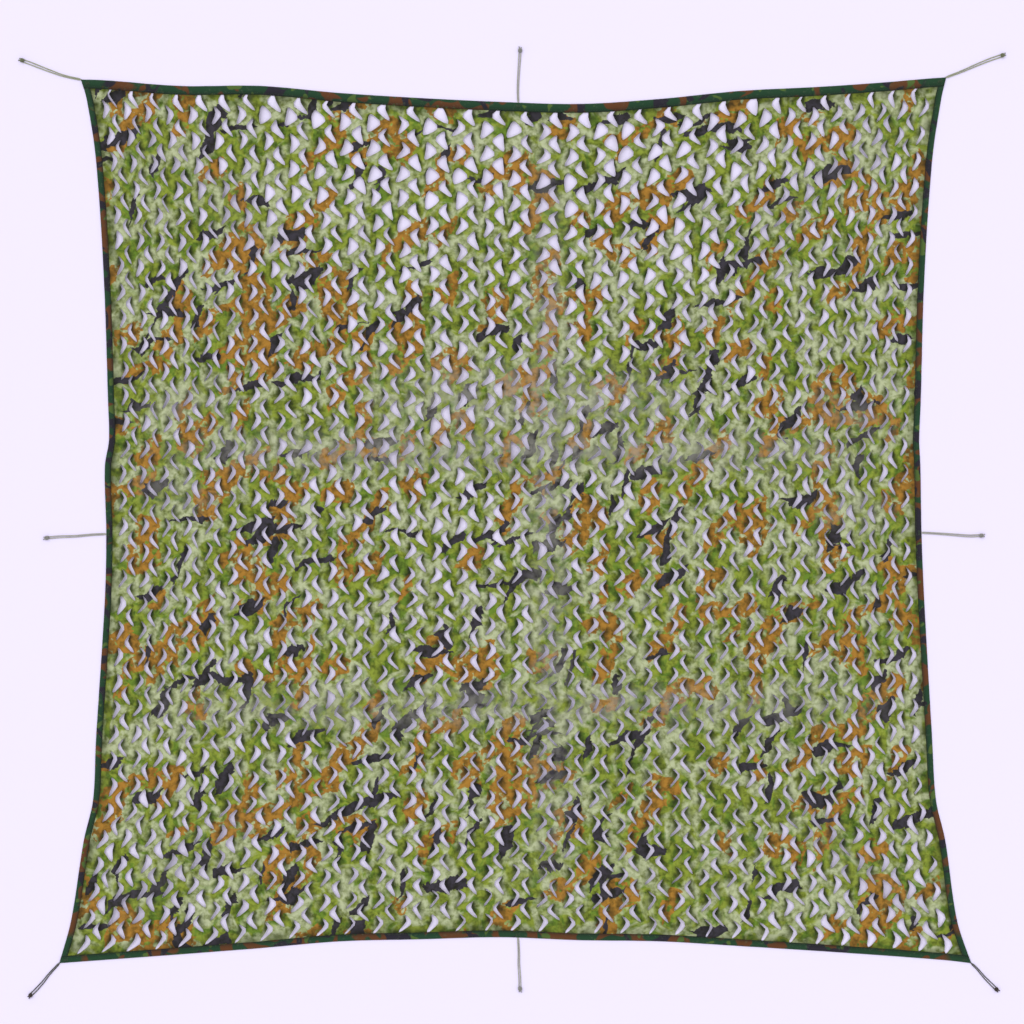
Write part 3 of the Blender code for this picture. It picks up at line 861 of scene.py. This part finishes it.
def tapeSection():
    # the folded tape cut across: share of the width from the fold, height, how much the pucker moves it
    tall, thick = binding["height"], binding["thick"]
    under = [(1.0, 0.0, 0), (0.6, 0.0, 0), (0.22, 0.0, 0), (0.06, 0.0005, 0), (0.0, tall / 2, 0.3)]
    over = [(0.06, tall - 0.0004, 0.6), (0.22, tall, 1), (0.42, tall + 0.0003, 1), (0.6, tall + 0.0002, 1),
            (0.72, tall, 1), (0.80, tall - 0.0003, 1), (0.9, tall, 1), (0.985, tall - 0.0001, 1),
            (1.0, tall - thick / 2, 0.9)]
    inside = [(0.985, tall - thick, 0.8), (0.5, tall - thick, 0), (0.09, tall - thick, 0),
              (0.09, thick, 0), (0.5, thick, 0), (0.985, thick, 0), (1.0, thick / 2, 0)]
    return under + over + inside


def makeTape(side):
    wide, section = binding["width"][side], tapeSection()
    bm = bmesh.new()
    order = bm.verts.layers.int.new("order")
    plain, shaded = bm.verts.layers.float.new("plain"), bm.verts.layers.float.new("shaded")
    ring = [bm.verts.new((0, 0, 0)) for _ in section]
    for index, vert in enumerate(ring):
        vert[order] = index
    edges = firstEdges = [bm.edges.new((a, b)) for a, b in zip(ring, ring[1:] + ring[:1])]
    for station in range(binding["stations"] + 1):
        t = station / binding["stations"]
        if station:
            grown = bmesh.ops.extrude_edge_only(bm, edges=edges)["geom"]
            ring = [item for item in grown if isinstance(item, bmesh.types.BMVert)]
            edges = [item for item in grown if isinstance(item, bmesh.types.BMEdge)]
        fold, lip = tapeLine(side, t, 0), tapeLine(side, t, 1)
        sway = binding["sway"] / wide * noise.noise(Vector((t * 60, wide * 1000, 0)))
        for vert in ring:
            cross, height, moved = section[vert[order]]
            spot = fold.lerp(lip, cross + sway * (1 + cross) / 2)
            lift = puckerAt(side, t, cross) * moved
            vert.co = (spot.x, spot.y, max(0.0, height + lift))
            vert[plain] = max(0.0, 1 - min(t, 1 - t) / binding["plainEnd"])
            vert[shaded] = cross ** 3
    bmesh.ops.edgeloop_fill(bm, edges=firstEdges)
    bmesh.ops.edgeloop_fill(bm, edges=edges)
    bmesh.ops.triangulate(bm, faces=[face for face in bm.faces if len(face.verts) > 4])
    bmesh.ops.recalc_face_normals(bm, faces=bm.faces)
    return addPiece("bindingTape_" + side, bm, tapeFinish, ["tape_" + side])


def sewTape(side):
    # a row of running stitches, and a close zigzag tack where each tie is sewn in
    bm = bmesh.new()
    tall, thick, cross = binding["height"], stitching["thick"], stitching["cross"]

    def stitch(middle, towards, length):
        turn = math.atan2(towards.y, towards.x)
        size = Matrix.Diagonal((length / 2, thick / 2, thick * 0.42, 1))
        bmesh.ops.create_icosphere(bm, subdivisions=1, radius=1.0,
                                   matrix=Matrix.Translation(middle) @ Matrix.Rotation(turn, 4, "Z") @ size)

    run = (tapeLine(side, 1, 0) - tapeLine(side, 0, 0)).length
    count = int(run / stitching["pitch"])
    for number in range(2, count - 1):
        t = number / count
        spot, ahead = tapeLine(side, t, cross), tapeLine(side, t + 0.3 / count, cross)
        spot.z = tall + puckerAt(side, t, cross) + 0.0001
        stitch(spot, ahead - spot, stitching["length"])
    number, room = stitching["tackStitches"], stitching["tackRoom"]
    for along in [tie[2] for tie in ties["places"] if tie[1] == side]:
        middle = min(max(along, room), 1 - room)
        for step in range(number):
            t = middle + (step - (number - 1) / 2) * stitching["tackPitch"] / binding["length"]
            low, high = tapeLine(side, t, stitching["tackFrom"]), tapeLine(side, t, stitching["tackTo"])
            spot = low.lerp(high, 0.5)
            lean = (high - low) + (tapeLine(side, t + 0.0004, 0.5) - spot) * (2 if step % 2 else -2)
            spot.z = tall + puckerAt(side, t, 0.4) + 0.0004
            stitch(spot, lean, binding["width"][side] * 0.5)
    return addPiece("stitches_" + side, bm, threadFinish)


def bindingTape():
    material, tree, shader, coords = startMaterial("bindingTape", 0.8, 0.1)
    brown = softPatches(tree, coords, *tapePrint["brownPatches"])
    black = softPatches(tree, coords, *tapePrint["blackPatches"])
    olive = softPatches(tree, coords, *tapePrint["olivePatches"])
    shade = mixPaint(tree, brown, paint(tapePrint["green"]), paint(tapePrint["brown"]))
    shade = mixPaint(tree, olive, shade, paint(tapePrint["olive"]))
    shade = mixPaint(tree, black, shade, paint(tapePrint["black"]))
    plain = addNode(tree, "Attribute", attribute_name="plain").outputs["Fac"]
    shade = mixPaint(tree, fade(tree, plain, 0.3, 0.5), shade, paint(tapePrint["green"]))
    shaded = addNode(tree, "Attribute", attribute_name="shaded").outputs["Fac"]
    shade = mixPaint(tree, shaded, shade, paint(tapePrint["shade"], 0.9), "MULTIPLY")
    dust = softPatches(tree, coords, *tapePrint["dustPatches"])
    shade = mixPaint(tree, dust, shade, paint(tapePrint["dust"]))
    tree.links.new(shade, shader.inputs["Base Color"])
    weave(tree, coords, shader, threads=260.0, strength=0.5, depth=0.0003, turn=0.78)
    return material


def threadMaterial():
    material, tree, shader, coords = startMaterial("sewingThread", 0.6, 0.1)
    strands = addNode(tree, "TexNoise", {"Vector": coords, "Scale": 900.0, "Detail": 2.0}).outputs[0]
    dark, light = paint(stitching["darkThread"]), paint(stitching["lightThread"])
    shade = mixPaint(tree, fade(tree, strands, 0.35, 0.65), dark, light)
    tree.links.new(shade, shader.inputs["Base Color"])
    bump = addNode(tree, "Bump", {"Strength": 0.5, "Distance": 0.0001, "Height": strands})
    tree.links.new(bump.outputs[0], shader.inputs["Normal"])
    return material


tapeFinish, threadFinish = bindingTape(), threadMaterial()
for side in ("top", "bottom", "left", "right"):
    tape, stitches, long = makeTape(side), sewTape(side), binding["cutLength"][side]
print("binding made and sewn")

# ---- floor and light

studio = {
    "floor": "dfd8f0",
    "floorSize": 160,
    "sky": (0.97, 0.97, 1.0),
    "skyStrength": 1.06,
    "sunStrength": 0.95,
    "sunAngle": 45,  # wide, for soft shadows
    "sunTilt": (-32, -26),
}
bpy.ops.mesh.primitive_plane_add(size=studio["floorSize"])
floor = bpy.context.object
floor.name = "floor"
floorFinish, _, floorShader, _ = startMaterial("floor", 0.9)
floorShader.inputs["Base Color"].default_value = paint(studio["floor"], 1.0)
floor.data.materials.append(floorFinish)

world = bpy.data.worlds.new("studio")
bpy.context.scene.world = world
world.use_nodes = True
backdrop = world.node_tree.nodes["Background"]
backdrop.inputs[0].default_value = (*studio["sky"], 1)
backdrop.inputs[1].default_value = studio["skyStrength"]

sun = bpy.data.lights.new("key", "SUN")
sun.energy = studio["sunStrength"]
sun.angle = math.radians(studio["sunAngle"])
sunObject = bpy.data.objects.new("key", sun)
sunObject.rotation_euler = (*[math.radians(turn) for turn in studio["sunTilt"]], 0)
bpy.context.scene.collection.objects.link(sunObject)
bpy.context.scene.view_settings.view_transform = "Standard"
print("floor and light set")
